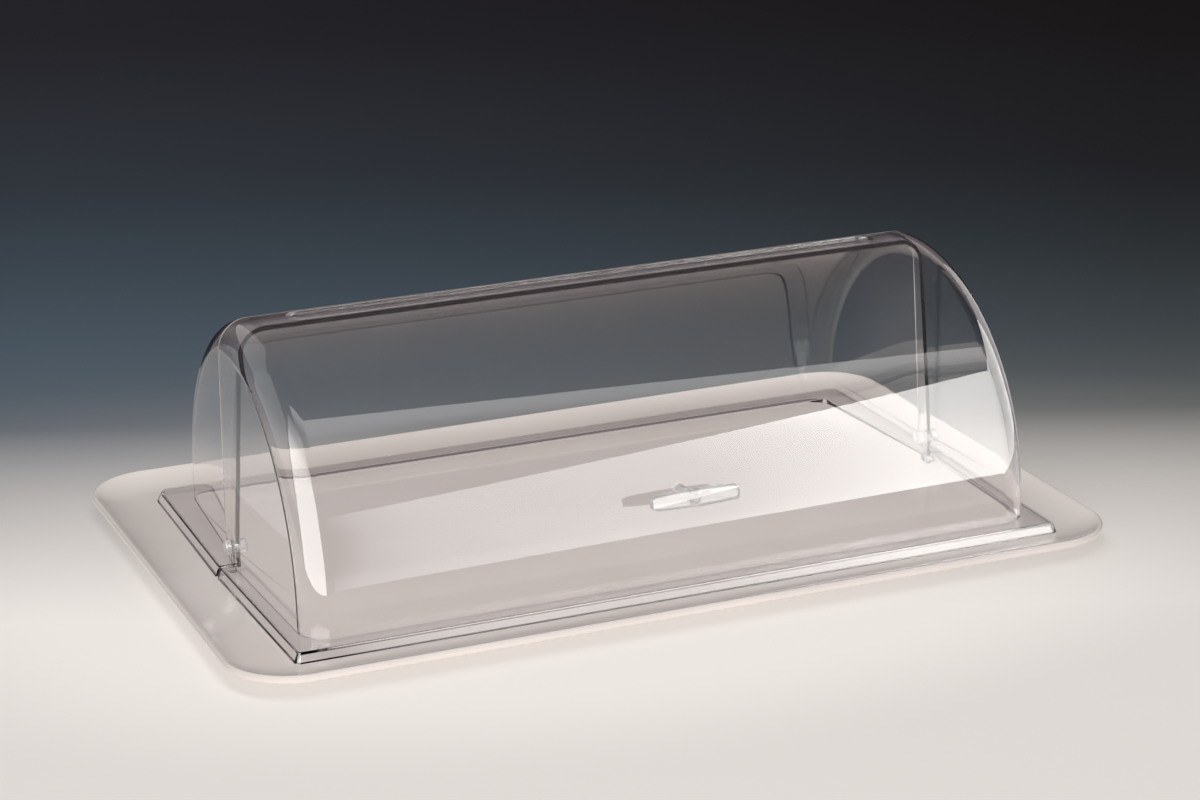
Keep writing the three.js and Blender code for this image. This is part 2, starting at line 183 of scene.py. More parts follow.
def clean(bm):
    bmesh.ops.remove_doubles(bm, verts=bm.verts, dist=TINY)
    bmesh.ops.dissolve_degenerate(bm, edges=bm.edges, dist=TINY)
    bmesh.ops.recalc_face_normals(bm, faces=bm.faces)
    return bm


def object_from(bm, name):
    mesh = bpy.data.meshes.new(name)
    bm.to_mesh(mesh)
    bm.free()
    thing = bpy.data.objects.new(name, in_order(mesh))
    bpy.context.scene.collection.objects.link(thing)
    return thing


def ends_of(edges):
    """The edges' points, each once, in the edges' order."""
    return list(dict.fromkeys(v for e in edges for v in e.verts))


def in_order(mesh):
    """The mesh with points and faces sorted by place, because some steps shuffle them."""
    places = [tuple(round(c, PLACE_DIGITS) for c in v.co) for v in mesh.vertices]
    order = sorted(range(len(places)), key=places.__getitem__)
    rank = {old: new for new, old in enumerate(order)}
    rings = []
    for polygon in mesh.polygons:
        ring = [rank[i] for i in polygon.vertices]
        start = ring.index(min(ring))
        rings.append(ring[start:] + ring[:start])
    ordered = bpy.data.meshes.new(mesh.name)
    ordered.from_pydata([mesh.vertices[i].co for i in order], [], sorted(rings))
    bpy.data.meshes.remove(mesh)
    return ordered


def combined(first, second, operation):
    """first joined with, cut by or kept inside second, as one new mesh on first."""
    modifier = first.modifiers.new(operation.lower(), "BOOLEAN")
    modifier.operation = operation
    modifier.solver = "MANIFOLD"
    modifier.object = second
    graph = bpy.context.evaluated_depsgraph_get()
    made = bpy.data.meshes.new_from_object(first.evaluated_get(graph))
    first.modifiers.clear()
    first.data = in_order(made)
    bpy.data.objects.remove(second)
    return first


def joined(first, second):
    return combined(first, second, "UNION")


def cut(first, second):
    return combined(first, second, "DIFFERENCE")


def kept(first, second):
    return combined(first, second, "INTERSECT")


def chain(bm, points):
    """Edges through the points, in order."""
    verts = [bm.verts.new(point) for point in points]
    return [bm.edges.new(pair) for pair in zip(verts, verts[1:])]


def round_points(centre, radius, start, end, steps):
    points = []
    for step in range(steps + 1):
        angle = start + (end - start) * step / steps
        points.append((centre[0] + radius * math.cos(angle),
                       centre[1] + radius * math.sin(angle)))
    return points


def turned_piece(name, profile, steps):
    """A solid turned about X from (place, radius) points that start and end on the axis."""
    bm = bmesh.new()
    edges = chain(bm, [(place, 0, radius) for place, radius in profile])
    geometry = edges + ends_of(edges)
    bmesh.ops.spin(bm, geom=geometry, cent=(0, 0, 0), axis=RIGHT, angle=math.tau,
                   steps=steps, use_merge=True, use_duplicate=False)
    return object_from(clean(bm), name)


def rounded_face(bm, corners, radii, height, steps=CORNER_STEPS):
    """A flat face through the corners, each rounded by its own radius."""
    verts = [bm.verts.new((x, y, height)) for x, y in corners]
    face = bm.faces.new(verts)
    for vert, radius in zip(verts, radii):
        back, ahead = (e.other_vert(vert).co - vert.co for e in vert.link_edges)
        tangent = radius / math.tan(back.angle(ahead) / 2)
        bmesh.ops.bevel(bm, geom=[vert], offset=tangent, offset_type="OFFSET", segments=steps,
                        profile=0.5, affect="VERTICES", material=-1)
    return max(bm.faces, key=lambda f: f.calc_area())


def raised(bm, face, height):
    """Pulls the face up by height and gives the face at the top."""
    made = bmesh.ops.extrude_face_region(bm, geom=[face])["geom"]
    top = next(g for g in made if isinstance(g, bmesh.types.BMFace))
    bmesh.ops.translate(bm, verts=top.verts, vec=UP * height)
    return top


def drawn_in(bm, face, inwards, upwards):
    """Leaves a sloping ring round the face and moves the face by the given steps."""
    bmesh.ops.inset_region(bm, faces=[face], thickness=inwards, use_even_offset=True)
    bmesh.ops.translate(bm, verts=face.verts, vec=UP * upwards)
    return face


def rounded_over(bm, face, radius, steps, way):
    """Rounds the edge about a face, which moves up by the radius, or down where way is -1."""
    place, height = 0, 0
    for i in range(1, steps + 1):
        angle = math.pi / 2 * i / steps
        inset = radius * (1 - math.cos(angle))
        rise = radius * math.sin(angle)
        drawn_in(bm, face, inset - place, way * (rise - height))
        place, height = inset, rise


# Materials

def linear(red, green, blue):
    """A colour on a 0 to 255 scale as the light that it stands for, by the sRGB curve."""
    def light(value):
        share = value / 255
        return share / 12.92 if share <= 0.04045 else ((share + 0.055) / 1.055) ** 2.4
    return (light(red), light(green), light(blue), 1)


def new_material(name):
    material = bpy.data.materials.new(name)
    material.use_nodes = True
    tree = material.node_tree
    tree.nodes.clear()
    return material, tree


def node(tree, kind, values=None, **settings):
    made = tree.nodes.new(kind)
    for name, value in settings.items():
        setattr(made, name, value)
    for name, value in (values or {}).items():
        made.inputs[name].default_value = value
    return made


def gradient_ramp(tree, stops):
    ramp = node(tree, "ShaderNodeValToRGB")
    elements = ramp.color_ramp.elements
    while len(elements) < len(stops):
        elements.new(0.5)
    for element, (position, colour) in zip(elements, stops):
        element.position = position
        element.color = colour
    return ramp


TRAY_TINTS = ((0.3, linear(234, 225, 221)), (0.7, linear(240, 232, 228)))


def glazed_white():
    """White glossy moulding with faint clouds, uneven shine and a slow ripple."""
    material, tree = new_material("glazed_white")
    link = tree.links.new
    place = node(tree, "ShaderNodeTexCoord")
    shader = node(tree, "ShaderNodeBsdfPrincipled", {
        "IOR": 1.55,
        "Coat Weight": 0.6,
        "Coat Roughness": 0.03,
        "Coat IOR": 1.5,
    })
    cloud = node(tree, "ShaderNodeTexNoise", {"Scale": 9.0, "Detail": 3.0, "Roughness": 0.5})
    tint = gradient_ramp(tree, TRAY_TINTS)
    wear = node(tree, "ShaderNodeTexNoise", {"Scale": 60.0, "Detail": 4.0, "Roughness": 0.6})
    gloss = node(tree, "ShaderNodeMapRange", {
        "From Min": 0.3, "From Max": 0.8, "To Min": 0.1, "To Max": 0.2,
    })
    ripple = node(tree, "ShaderNodeTexNoise", {"Scale": 26.0, "Detail": 2.0, "Roughness": 0.4})
    bump = node(tree, "ShaderNodeBump", {"Strength": 0.06, "Distance": 0.0006})
    out = node(tree, "ShaderNodeOutputMaterial")
    link(place.outputs["Object"], cloud.inputs["Vector"])
    link(place.outputs["Object"], wear.inputs["Vector"])
    link(place.outputs["Object"], ripple.inputs["Vector"])
    link(cloud.outputs["Fac"], tint.inputs["Fac"])
    link(tint.outputs["Color"], shader.inputs["Base Color"])
    link(wear.outputs["Fac"], gloss.inputs["Value"])
    link(gloss.outputs["Result"], shader.inputs["Roughness"])
    link(ripple.outputs["Fac"], bump.inputs["Height"])
    link(bump.outputs["Normal"], shader.inputs["Normal"])
    link(shader.outputs["BSDF"], out.inputs["Surface"])
    return material


SHELL_PLASTIC = {"colour": (0.985, 0.976, 0.978, 1), "ior": 1.5, "clearness": 1.0}
FITTING_PLASTIC = {"colour": (0.97, 0.97, 0.975, 1), "ior": 1.55, "clearness": 0.8}
LAMPS_THROUGH = (0.975, 0.975, 0.975, 1)


def clear_plastic(name, colour, ior, clearness):
    """Polished clear moulding: lamps reach through it, and its faces ripple a little."""
    material, tree = new_material(name)
    link = tree.links.new
    place = node(tree, "ShaderNodeTexCoord")
    shader = node(tree, "ShaderNodeBsdfPrincipled", {
        "Base Color": colour,
        "Roughness": 0.0,
        "IOR": ior,
        "Transmission Weight": clearness,
    })
    ripple = node(tree, "ShaderNodeTexNoise", {"Scale": 14.0, "Detail": 1.0, "Roughness": 0.3})
    bump = node(tree, "ShaderNodeBump", {"Strength": 0.05, "Distance": 0.0004})
    lamps_through = node(tree, "ShaderNodeBsdfTransparent", {"Color": LAMPS_THROUGH})
    path = node(tree, "ShaderNodeLightPath")
    either = node(tree, "ShaderNodeMath", operation="MAXIMUM")
    mix = node(tree, "ShaderNodeMixShader")
    out = node(tree, "ShaderNodeOutputMaterial")
    link(place.outputs["Object"], ripple.inputs["Vector"])
    link(ripple.outputs["Fac"], bump.inputs["Height"])
    link(bump.outputs["Normal"], shader.inputs["Normal"])
    link(path.outputs["Is Shadow Ray"], either.inputs[0])
    link(path.outputs["Is Diffuse Ray"], either.inputs[1])
    link(either.outputs["Value"], mix.inputs["Fac"])
    link(shader.outputs["BSDF"], mix.inputs[1])
    link(lamps_through.outputs["BSDF"], mix.inputs[2])
    link(mix.outputs["Shader"], out.inputs["Surface"])
    return material


def tidied(thing):
    """Joins the flat strips that the cutting left, then splits the many-sided faces."""
    bm = bmesh.new()
    bm.from_mesh(thing.data)
    bmesh.ops.remove_doubles(bm, verts=bm.verts, dist=WELD)
    bmesh.ops.dissolve_limit(bm, angle_limit=FLAT_WITHIN, verts=bm.verts, edges=bm.edges)
    for side in (-1, 1):
        whole = list(bm.verts) + list(bm.edges) + list(bm.faces)
        bmesh.ops.bisect_plane(bm, geom=whole, dist=TINY, plane_no=RIGHT,
                               plane_co=PIVOT + RIGHT * side * BESIDE_STEM)
    bmesh.ops.triangulate(bm, faces=[f for f in bm.faces if len(f.verts) > MOST_SIDES])
    bm.to_mesh(thing.data)
    bm.free()


def dress(thing, material, body, slot, *nodes, ease=0):
    """Finishes a piece: eased edges, smooth shading, its material, body and nodes. The slot is
    not used.
    """
    thing.data.materials.clear()
    thing.data.materials.append(material)
    thing.data.shade_smooth()
    thing.data.set_sharp_from_angle(angle=SHARP_FROM)
    if ease:
        tidied(thing)
        eased = thing.modifiers.new("eased_edges", "BEVEL")
        eased.width = ease
        eased.segments = EASE_STEPS
        eased.limit_method = "ANGLE"
        eased.angle_limit = SHARP_FROM
        eased.use_clamp_overlap = False
    even = thing.modifiers.new("even_shading", "WEIGHTED_NORMAL")
    even.keep_sharp = not ease
    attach(thing, body)
    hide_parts(*nodes)
    return thing


# Tray

def rectangle_corners(length, width):
    half_length = length / 2
    half_width = width / 2
    return [(-half_length, -half_width), (half_length, -half_width),
            (half_length, half_width), (-half_length, half_width)]


def foot_slab(inset, low, high, eased):
    """A slab of the foot ring's plan, its bottom edge eased where it is the outer one."""
    corners = rectangle_corners(TRAY_LENGTH - 2 * (FOOT_INSET + inset),
                                TRAY_WIDTH - 2 * (FOOT_INSET + inset))
    bm = bmesh.new()
    bottom = rounded_face(bm, corners, [FOOT_CORNER - inset] * 4, low + eased)
    raised(bm, bottom, high - low - eased)
    if eased:
        rounded_over(bm, bottom, eased, FOOT_EDGE_STEPS, -1)
    bmesh.ops.recalc_face_normals(bm, faces=bm.faces)
    return object_from(bm, "foot_slab")


def foot_ring():
    """The low wall that the tray stands on."""
    outer = foot_slab(0, 0, TRAY_UNDERSIDE + TRAY_FLOOR / 2, FOOT_EDGE)
    return cut(outer, foot_slab(FOOT_WALL, -OVERRUN, TRAY_UNDERSIDE, 0))


def make_tray():
    bm = bmesh.new()
    corners = rectangle_corners(TRAY_LENGTH, TRAY_WIDTH)
    side_low = TRAY_UNDERSIDE + UNDERSIDE_CURVE[1]
    side_high = LIP_TOP - LIP_ROUND
    bottom = rounded_face(bm, corners, [TRAY_CORNER] * 4, side_low)
    top = raised(bm, bottom, side_high - side_low)

    # Over the lip and down into the dish
    rim = []
    for i in range(1, LIP_STEPS + 1):
        angle = math.pi / 2 * i / LIP_STEPS
        rim.append((LIP_ROUND * (1 - math.cos(angle)), side_high + LIP_ROUND * math.sin(angle)))
    fall = math.acos(1 - RIM_RISE / RIM_CURVE[1])
    for i in range(1, RIM_STEPS + 1):
        angle = fall * (1 - i / RIM_STEPS)
        rim.append((RIM_BAND - RIM_CURVE[0] * math.sin(angle),
                    TRAY_TOP + RIM_CURVE[1] * (1 - math.cos(angle))))
    place, height = 0, side_high
    for inset, level in rim:
        drawn_in(bm, top, inset - place, level - height)
        place, height = inset, level

    # Under the lip to the flat underside
    place, height = 0, side_low
    for i in range(1, RIM_STEPS + 1):
        angle = math.pi / 2 * (1 - i / RIM_STEPS)
        inset = UNDERSIDE_CURVE[0] * (1 - math.sin(angle))
        level = TRAY_UNDERSIDE + UNDERSIDE_CURVE[1] * (1 - math.cos(angle))
        drawn_in(bm, bottom, inset - place, level - height)
        place, height = inset, level
    bmesh.ops.recalc_face_normals(bm, faces=bm.faces)
    return joined(object_from(bm, "serving_tray"), foot_ring())


# Cover shells, made about the pivot and then set at it

def section_points(spec, inset):
    """(place, radius) from the left end's axis point, over the top, to the right end's."""
    radius = spec["radius"] - inset
    end = spec["end"] - inset
    fillet = spec["fillet"] - inset
    lean = math.atan(spec["draft"])
    centre = (end - spec["draft"] * (radius - fillet) - fillet / math.cos(lean), radius - fillet)
    right = round_points(centre, fillet, math.pi / 2, lean, FILLET_STEPS) + [(end, 0)]
    left = [(-place, height) for place, height in reversed(right)]
    return left + right


def dome_body(spec, inset):
    """The full body of a shell: round over the pivot, and straight down below it."""
    bm = bmesh.new()
    edges = chain(bm, [(place, -radius, 0) for place, radius in section_points(spec, inset)])
    geometry = edges + ends_of(edges)
    bmesh.ops.spin(bm, geom=geometry, cent=(0, 0, 0), axis=RIGHT, angle=-math.pi,
                   steps=DOME_STEPS, use_merge=False, use_duplicate=False)
    bmesh.ops.remove_doubles(bm, verts=bm.verts, dist=TINY)
    rim = [e for e in bm.edges if e.is_boundary]
    made = bmesh.ops.extrude_edge_only(bm, edges=rim)["geom"]
    lower = [g for g in made if isinstance(g, bmesh.types.BMVert)]
    bmesh.ops.translate(bm, verts=lower, vec=UP * (-PIVOT_HEIGHT - OVERRUN))
    bmesh.ops.holes_fill(bm, edges=[e for e in bm.edges if e.is_boundary], sides=0)
    return object_from(clean(bm), "body")


def flange_corners(inset, past_split):
    half_width = FLANGE_WIDTH / 2
    at_split = FLANGE_LENGTH / 2 - inset + FLANGE_DRAFT * past_split
    at_front = FLANGE_LENGTH / 2 - inset - FLANGE_DRAFT * half_width
    return [(-at_split, past_split), (-at_front, inset - half_width),
            (at_front, inset - half_width), (at_split, past_split)]


def plan_slab(corners, radii, low, high):
    bm = bmesh.new()
    raised(bm, rounded_face(bm, corners, radii, low), high - low)
    bmesh.ops.recalc_face_normals(bm, faces=bm.faces)
    return object_from(bm, "slab")


def flange_block(inset, top, corner):
    """The flange's outside, or its channel, as a block whose sides slope in to the top."""
    rise = top + PIVOT_HEIGHT
    slope = SKIRT_SLOPE * rise / FLANGE_HEIGHT
    radius = max(corner - inset, SKIRT_SHARPEST + slope)
    bm = bmesh.new()
    radii = [SKIRT_SHARPEST + slope, radius, radius, SKIRT_SHARPEST + slope]
    bottom = rounded_face(bm, flange_corners(inset, OVERRUN), radii, -PIVOT_HEIGHT - OVERRUN)
    middle = raised(bm, bottom, OVERRUN)
    drawn_in(bm, middle, slope, rise)
    bmesh.ops.recalc_face_normals(bm, faces=bm.faces)
    return object_from(bm, "flange")


def side_view_solid(points):
    """A side view of (rear, up) points carried right across the cover."""
    half = FLANGE_LENGTH / 2 + OVERRUN
    bm = bmesh.new()
    face = bm.faces.new([bm.verts.new((-half, rear, up)) for rear, up in points])
    made = bmesh.ops.extrude_face_region(bm, geom=[face])["geom"]
    moved = [g for g in made if isinstance(g, bmesh.types.BMVert)]
    bmesh.ops.translate(bm, verts=moved, vec=RIGHT * (2 * half))
    bmesh.ops.recalc_face_normals(bm, faces=bm.faces)
    return object_from(bm, "side_view")


def cross_rod(radius, half_length, steps=SMALL_STEPS):
    return turned_piece("rod", [(-half_length, 0), (-half_length, radius),
                                (half_length, radius), (half_length, 0)], steps)


def make_shell(spec, name, turn):
    skirt_wall = WALL * math.hypot(1, SKIRT_SLOPE / FLANGE_HEIGHT)
    split_face = -SPLIT_GAP / 2
    ends = (spec["split_corner"], spec["corner"], spec["corner"], spec["split_corner"])
    inner_ends = (SKIRT_SHARPEST, spec["corner"], spec["corner"], SKIRT_SHARPEST)
    flange = kept(
        flange_block(0, LEDGE, spec["corner"]),
        plan_slab(flange_corners(0, split_face), ends, -PIVOT_HEIGHT, LEDGE + OVERRUN),
    )
    channel = kept(
        flange_block(skirt_wall, LEDGE - WALL, spec["corner"]),
        plan_slab(flange_corners(0, split_face - WALL), inner_ends,
                  -PIVOT_HEIGHT - 2 * OVERRUN, LEDGE),
    )
    shell = cut(joined(dome_body(spec, 0), flange), joined(dome_body(spec, WALL), channel))
    shell.name = name
    shell.data.transform(Matrix.Rotation(turn, 4, "Z"))
    return shell


def front_side_view():
    """What the front shell keeps, seen from the side: up to the split, an ear, a leaning edge."""
    split_face = -SPLIT_GAP / 2
    bottom = REST_GAP - PIVOT_HEIGHT
    ear_start = -math.acos(split_face / EAR_RADIUS)
    ear = round_points((0, 0), EAR_RADIUS, ear_start, -REAR_EDGE_SLANT, SMALL_STEPS // 2)
    edge_top = EAR_RADIUS / math.cos(REAR_EDGE_SLANT) + REACH * math.tan(REAR_EDGE_SLANT)
    return [(-REACH, bottom), (split_face, bottom), *ear, (edge_top, REACH), (-REACH, REACH)]


def recess_cutter():
    """A long round-ended cutter whose floor follows the dome."""
    half_length = RECESS_LENGTH / 2
    half_width = RECESS_WIDTH / 2
    corners = [(-half_length, RECESS_BEHIND_PIVOT - half_width),
               (half_length, RECESS_BEHIND_PIVOT - half_width),
               (half_length, RECESS_BEHIND_PIVOT + half_width),
               (-half_length, RECESS_BEHIND_PIVOT + half_width)]
    slab = plan_slab(corners, [half_width * RECESS_END_ROUND_SHARE] * 4,
                     FRONT_SHELL["radius"] / 2, REACH)
    floor = cross_rod(FRONT_SHELL["radius"] - RECESS_DEPTH, RECESS_LENGTH, 2 * DOME_STEPS)
    return cut(slab, floor)


def pivot_hole():
    return cross_rod(PIN_RADIUS + PIN_CLEARANCE, FLANGE_LENGTH / 2)


def in_handle_place(thing):
    """Stands a piece made along X on the dome, with its foot on the stem's place."""
    along_stem = Matrix.Rotation(-math.pi / 2, 4, "Y")
    lean = Matrix.Rotation(math.pi / 2 - HANDLE_TILT, 4, "X")
    radius = FRONT_SHELL["radius"]
    foot = (0, -radius * math.cos(HANDLE_UP_DOME), radius * math.sin(HANDLE_UP_DOME))
    thing.data.transform(Matrix.Translation(foot) @ lean @ along_stem)
    return thing


def at_pivot(thing):
    thing.data.transform(Matrix.Translation(PIVOT))
    return thing


def stem_rod(radius, start, end):
    return turned_piece("rod", [(start, 0), (start, radius), (end, radius), (end, 0)],
                        SMALL_STEPS)


def make_front_shell():
    shell = make_shell(FRONT_SHELL, "roll_front_shell", 0)
    shell = kept(shell, side_view_solid(front_side_view()))
    shell = cut(shell, recess_cutter())
    shell = cut(shell, pivot_hole())
    screw_hole = stem_rod(SCREW_RADIUS + SCREW_CLEARANCE, -SADDLE_FLAT, OVERRUN)
    return at_pivot(cut(shell, in_handle_place(screw_hole)))


def make_rear_shell():
    bottom = REST_GAP - PIVOT_HEIGHT
    shell = make_shell(REAR_SHELL, "fixed_rear_shell", math.pi)
    far = REACH + OVERRUN
    cut_away = [(-far, -far), (far, -far), (far, bottom), (-ARCH_BEFORE_PIVOT, bottom),
                (-ARCH_BEFORE_PIVOT, far), (-far, far)]
    return at_pivot(cut(cut(shell, side_view_solid(cut_away)), pivot_hole()))


# Pivot pieces, made for the right end and turned round for the left

def pivot_pieces():
    seat = FRONT_SHELL["end"] + REST_GAP
    tip = seat - PIN_SHANK
    washer_face = REAR_SHELL["end"] - WALL - REAR_SHELL["draft"] * WASHER_RADIUS - REST_GAP
    cap_face = washer_face - WASHER_THICKNESS - REST_GAP
    cap_end = cap_face - CAP_LENGTH
    head = (seat + PIN_HEAD - PIN_HEAD_ROUND, PIN_HEAD_RADIUS - PIN_HEAD_ROUND)
    crown = (cap_end + CAP_ROUND, CAP_RADIUS - CAP_ROUND)
    bore = PIN_RADIUS + PIN_CLEARANCE
    bore_end = tip - REST_GAP
    edge = PIVOT_EDGE
    pin = [(tip, 0), (tip, PIN_RADIUS - edge), (tip + edge, PIN_RADIUS), (seat, PIN_RADIUS),
           (seat, PIN_HEAD_RADIUS - edge), (seat + edge, PIN_HEAD_RADIUS)]
    pin += round_points(head, PIN_HEAD_ROUND, math.pi / 2, 0, ROUND_STEPS)
    pin += [(seat + PIN_HEAD, 0)]
    cap = [(cap_end, 0)] + round_points(crown, CAP_ROUND, math.pi, math.pi / 2,
                                         ROUND_STEPS)
    cap += [(cap_face - edge, CAP_RADIUS), (cap_face, CAP_RADIUS - edge), (cap_face, bore),
            (bore_end, bore), (bore_end, 0)]
    washer_back = washer_face - WASHER_THICKNESS
    washer = [(washer_back, bore), (washer_back, WASHER_RADIUS - edge),
              (washer_back + edge, WASHER_RADIUS), (washer_face - edge, WASHER_RADIUS),
              (washer_face, WASHER_RADIUS - edge), (washer_face, bore), (washer_back, bore)]
    return {"pin": pin, "cap": cap, "washer": washer}


def make_pivots(material):
    pieces = []
    for side, turn in (("right", 0), ("left", math.pi)):
        for part, profile in pivot_pieces().items():
            thing = turned_piece(f"{part}_{side}", profile, SMALL_STEPS)
            thing.data.transform(Matrix.Rotation(turn, 4, "Z"))
            pieces.append(dress(at_pivot(thing), material, "rear_cover", "clear_fitting",
                                f"pivot_{part}_{side}"))
    return pieces


# Handle pieces

def make_grip():
    """The bar with its bowed long sides and round edges, joined to the flared stem."""
    end = BAR_LENGTH / 2
    corner = end - BAR_CORNER
    low = BAR_ENDS / 2
    bow = BAR_MIDDLE / 2 - low
    lower = []
    for i in range(BAR_BOW_STEPS + 1):
        share = 2 * i / BAR_BOW_STEPS - 1
        lower.append((corner * share, -low - bow * (1 - share * share)))
    right = round_points((corner, BAR_CORNER - low), BAR_CORNER, -math.pi / 2, 0,
                         ROUND_STEPS)[1:]
    upper = [(-x, -y) for x, y in lower]
    right += [(x, -y) for x, y in reversed(right)][1:]
    left = [(-x, -y) for x, y in right]
    bm = bmesh.new()
    outline = lower + right[:-1] + upper + left[:-1]
    bottom = bm.faces.new([bm.verts.new((x, y, BAR_STANDOFF + BAR_EDGE)) for x, y in outline])
    top = raised(bm, bottom, BAR_DEPTH - 2 * BAR_EDGE)
    for face, way in ((top, 1), (bottom, -1)):
        rounded_over(bm, face, BAR_EDGE, BAR_EDGE_STEPS, way)
    bmesh.ops.recalc_face_normals(bm, faces=bm.faces)
    grip = object_from(bm, "grip")
    flare = (BAR_STANDOFF - STEM_FLARE, STEM_RADIUS + STEM_FLARE)
    stem = [(-SADDLE_FLAT, 0), (-SADDLE_FLAT, STEM_RADIUS)]
    stem += round_points(flare, STEM_FLARE, -math.pi / 2, 0, ROUND_STEPS)
    stem += [(BAR_STANDOFF + BAR_EDGE, STEM_RADIUS + STEM_FLARE), (BAR_STANDOFF + BAR_EDGE, 0)]
    stem_piece = turned_piece("stem", stem, SMALL_STEPS)
    stem_piece.data.transform(Matrix.Rotation(-math.pi / 2, 4, "Y"))
    screw_tip = SCREW_LENGTH - SADDLE_FLAT + REST_GAP
    bore = stem_rod(SCREW_RADIUS + SCREW_CLEARANCE, -SADDLE_FLAT - OVERRUN, screw_tip)
    bore.data.transform(Matrix.Rotation(-math.pi / 2, 4, "Y"))
    whole = cut(joined(grip, stem_piece), bore)
    whole.data.transform(Matrix.Rotation(math.pi / 2, 4, "Y"))
    dome = cross_rod(FRONT_SHELL["radius"] + REST_GAP, BAR_LENGTH, 2 * DOME_STEPS)
    whole = cut(in_handle_place(whole), dome)
    whole.name = "bar_handle"
    return at_pivot(whole)


def make_saddle():
    dome = cross_rod(FRONT_SHELL["radius"] - WALL - REST_GAP, BAR_LENGTH, 2 * DOME_STEPS)
    washer = stem_rod(SADDLE_RADIUS, -SADDLE_FLAT, 0)
    bore = stem_rod(SCREW_RADIUS + SCREW_CLEARANCE, -SADDLE_FLAT - OVERRUN, OVERRUN)
    washer = cut(washer, bore)
    washer = kept(in_handle_place(washer), dome)
    washer.name = "saddle_washer"
    return at_pivot(washer)


def make_screw():
    seat = -SADDLE_FLAT - REST_GAP
    head = [(seat - SCREW_HEAD * math.cos(math.pi / 2 * i / ROUND_STEPS),
             SCREW_HEAD_RADIUS * math.sin(math.pi / 2 * i / ROUND_STEPS))
            for i in range(ROUND_STEPS + 1)]
    profile = head + [(seat, SCREW_RADIUS), (seat + SCREW_LENGTH, SCREW_RADIUS),
                      (seat + SCREW_LENGTH, 0)]
    screw = turned_piece("handle_screw_piece", profile, SMALL_STEPS)
    return at_pivot(in_handle_place(screw))


# Stage

CAMERA_AZIMUTH = math.radians(-22.197)
CAMERA_ELEVATION = math.radians(18.292)
CAMERA_ROLL = math.radians(-1.173)
CAMERA_PLACE = Vector((-756.1, -1879.9, 756.9)) * MM
FOCAL_PIXELS = 3205.9
IMAGE_WIDTH = 1200
SENSOR_WIDTH = 36
CLIP_START = 0.05
CLIP_END = 100


def make_camera():
    ahead = Vector((
        -math.sin(CAMERA_AZIMUTH) * math.cos(CAMERA_ELEVATION),
        math.cos(CAMERA_AZIMUTH) * math.cos(CAMERA_ELEVATION),
        -math.sin(CAMERA_ELEVATION),
    ))
    level = Vector((math.cos(CAMERA_AZIMUTH), math.sin(CAMERA_AZIMUTH), 0))
    upright = level.cross(ahead)
    right = math.cos(CAMERA_ROLL) * level + math.sin(CAMERA_ROLL) * upright
    up = math.cos(CAMERA_ROLL) * upright - math.sin(CAMERA_ROLL) * level
    data = bpy.data.cameras.new("camera")
    data.sensor_width = SENSOR_WIDTH
    data.lens = FOCAL_PIXELS / IMAGE_WIDTH * SENSOR_WIDTH
    data.clip_start = CLIP_START
    data.clip_end = CLIP_END
    camera = bpy.data.objects.new("camera", data)
    turn = Matrix((right, up, -ahead)).transposed().to_4x4()
    camera.matrix_world = Matrix.Translation(CAMERA_PLACE) @ turn
    bpy.context.scene.collection.objects.link(camera)
    bpy.context.scene.camera = camera


# Backdrop as seen, by how far below the horizon one looks: share 0 is straight down
# and 1 straight up
def height_share(degrees):
    return 0.5 + 0.5 * math.sin(math.radians(degrees))


BACKDROP_HEIGHTS = (-40.0, -26.0, -22.0, -21.0, -20.2, -19.5, -18.9, -18.3, -17.7, -17.0,
                    -15.6, -14.2, -11.5, 8.0, 20.0, 40.0)
BACKDROP_LEFT = (
    (228, 223, 218), (226, 221, 216), (196, 191, 187), (150, 147, 145), (142, 139, 138),
    (140, 139, 141), (125, 126, 130), (104, 108, 114), (84, 93, 102), (74, 86, 97),
    (61, 71, 80), (50, 55, 62), (37, 36, 41), (30, 29, 32), (24, 22, 23), (24, 22, 23),
)
BACKDROP_RIGHT = (
    (228, 223, 218), (226, 221, 216), (200, 195, 190), (160, 155, 151), (152, 147, 144),
    (148, 144, 141), (128, 126, 124), (102, 103, 103), (78, 82, 84), (64, 69, 73),
    (46, 50, 53), (34, 34, 37), (26, 23, 24), (24, 22, 23), (24, 22, 23), (24, 22, 23),
)
BACKDROP_HALF_WIDTH = 0.17

# What light that has gone through the plastic finds high up, the way the camera looks
EDGE_LIGHT_HEIGHTS = (-12.0, 2.0)
EDGE_LIGHT_AHEAD = (0.2, 0.6)
EDGE_LIGHT = linear(112, 103, 108)
SOFT_LIGHT = (0.30, 0.295, 0.29, 1)

# Sockets of a colour mix, which share their names with those for other kinds of value
MIX_SHARE = 0
MIX_FIRST = 6
MIX_SECOND = 7
MIX_COLOUR = 2


